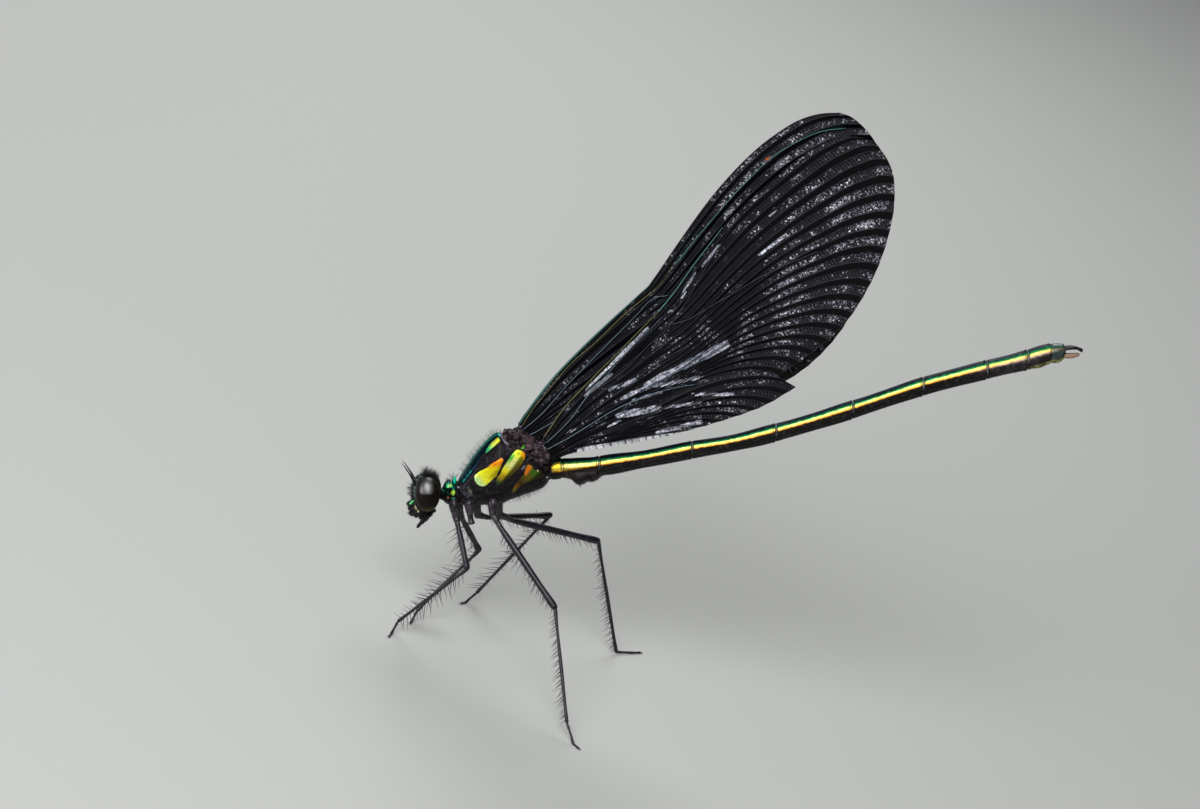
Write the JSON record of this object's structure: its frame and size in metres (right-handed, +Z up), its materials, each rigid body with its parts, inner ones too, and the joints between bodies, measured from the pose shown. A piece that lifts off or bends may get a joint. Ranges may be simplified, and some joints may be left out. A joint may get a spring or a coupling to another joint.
{
  "type": "damselfly",
  "caption": "Life-size still model of a male black-winged damselfly, standing with its wings closed over a slender metallic body.",
  "frame": {"origin": "centre of the bounding box, on the floor that the feet stand on", "axes": "+Z up from the floor; the head points along -X and the tail along +X; +Y is the insect's right side, to which the closed wings lean"},
  "size_m": [0.0495, 0.0231, 0.0516],
  "materials": {
    "dark_cuticle": "satin black cuticle with hairs",
    "metallic_cuticle": "glossy metallic green and gold over black",
    "eye": "smooth glossy dark brown",
    "leg_cuticle": "satin blue-black",
    "wing_membrane": "thin smoky black membrane, crinkled, with fine glints"
  },
  "bodies": {
    "root": {"head": "dark_cuticle", "antenna_left": "dark_cuticle", "antenna_right": "dark_cuticle", "prothorax": "metallic_cuticle", "thorax": "metallic_cuticle", "abdomen_1": "metallic_cuticle", "abdomen_2": "metallic_cuticle", "abdomen_3": "metallic_cuticle", "abdomen_4": "metallic_cuticle", "abdomen_5": "metallic_cuticle", "abdomen_6": "metallic_cuticle", "abdomen_7": "metallic_cuticle", "abdomen_8": "metallic_cuticle", "abdomen_9": "metallic_cuticle", "abdomen_10": "metallic_cuticle", "eye_left": "eye", "eye_right": "eye", "leg_middle_left": "leg_cuticle", "leg_front_left_femur": "leg_cuticle", "leg_front_left_tibia": "leg_cuticle", "leg_front_left_tarsus": "leg_cuticle", "leg_front_right_femur": "leg_cuticle", "leg_front_right_tibia": "leg_cuticle", "leg_front_right_tarsus": "leg_cuticle", "leg_middle_right_femur": "leg_cuticle", "leg_middle_right_tibia": "leg_cuticle", "leg_middle_right_tarsus": "leg_cuticle", "leg_hind_left_femur": "leg_cuticle", "leg_hind_left_tibia": "leg_cuticle", "leg_hind_left_tarsus": "leg_cuticle", "leg_hind_right_femur": "leg_cuticle", "leg_hind_right_tibia": "leg_cuticle", "leg_hind_right_tarsus": "leg_cuticle", "forewing_left": "wing_membrane", "forewing_right": "wing_membrane", "hindwing_left": "wing_membrane", "hindwing_right": "wing_membrane"}
  },
  "joints": []
}
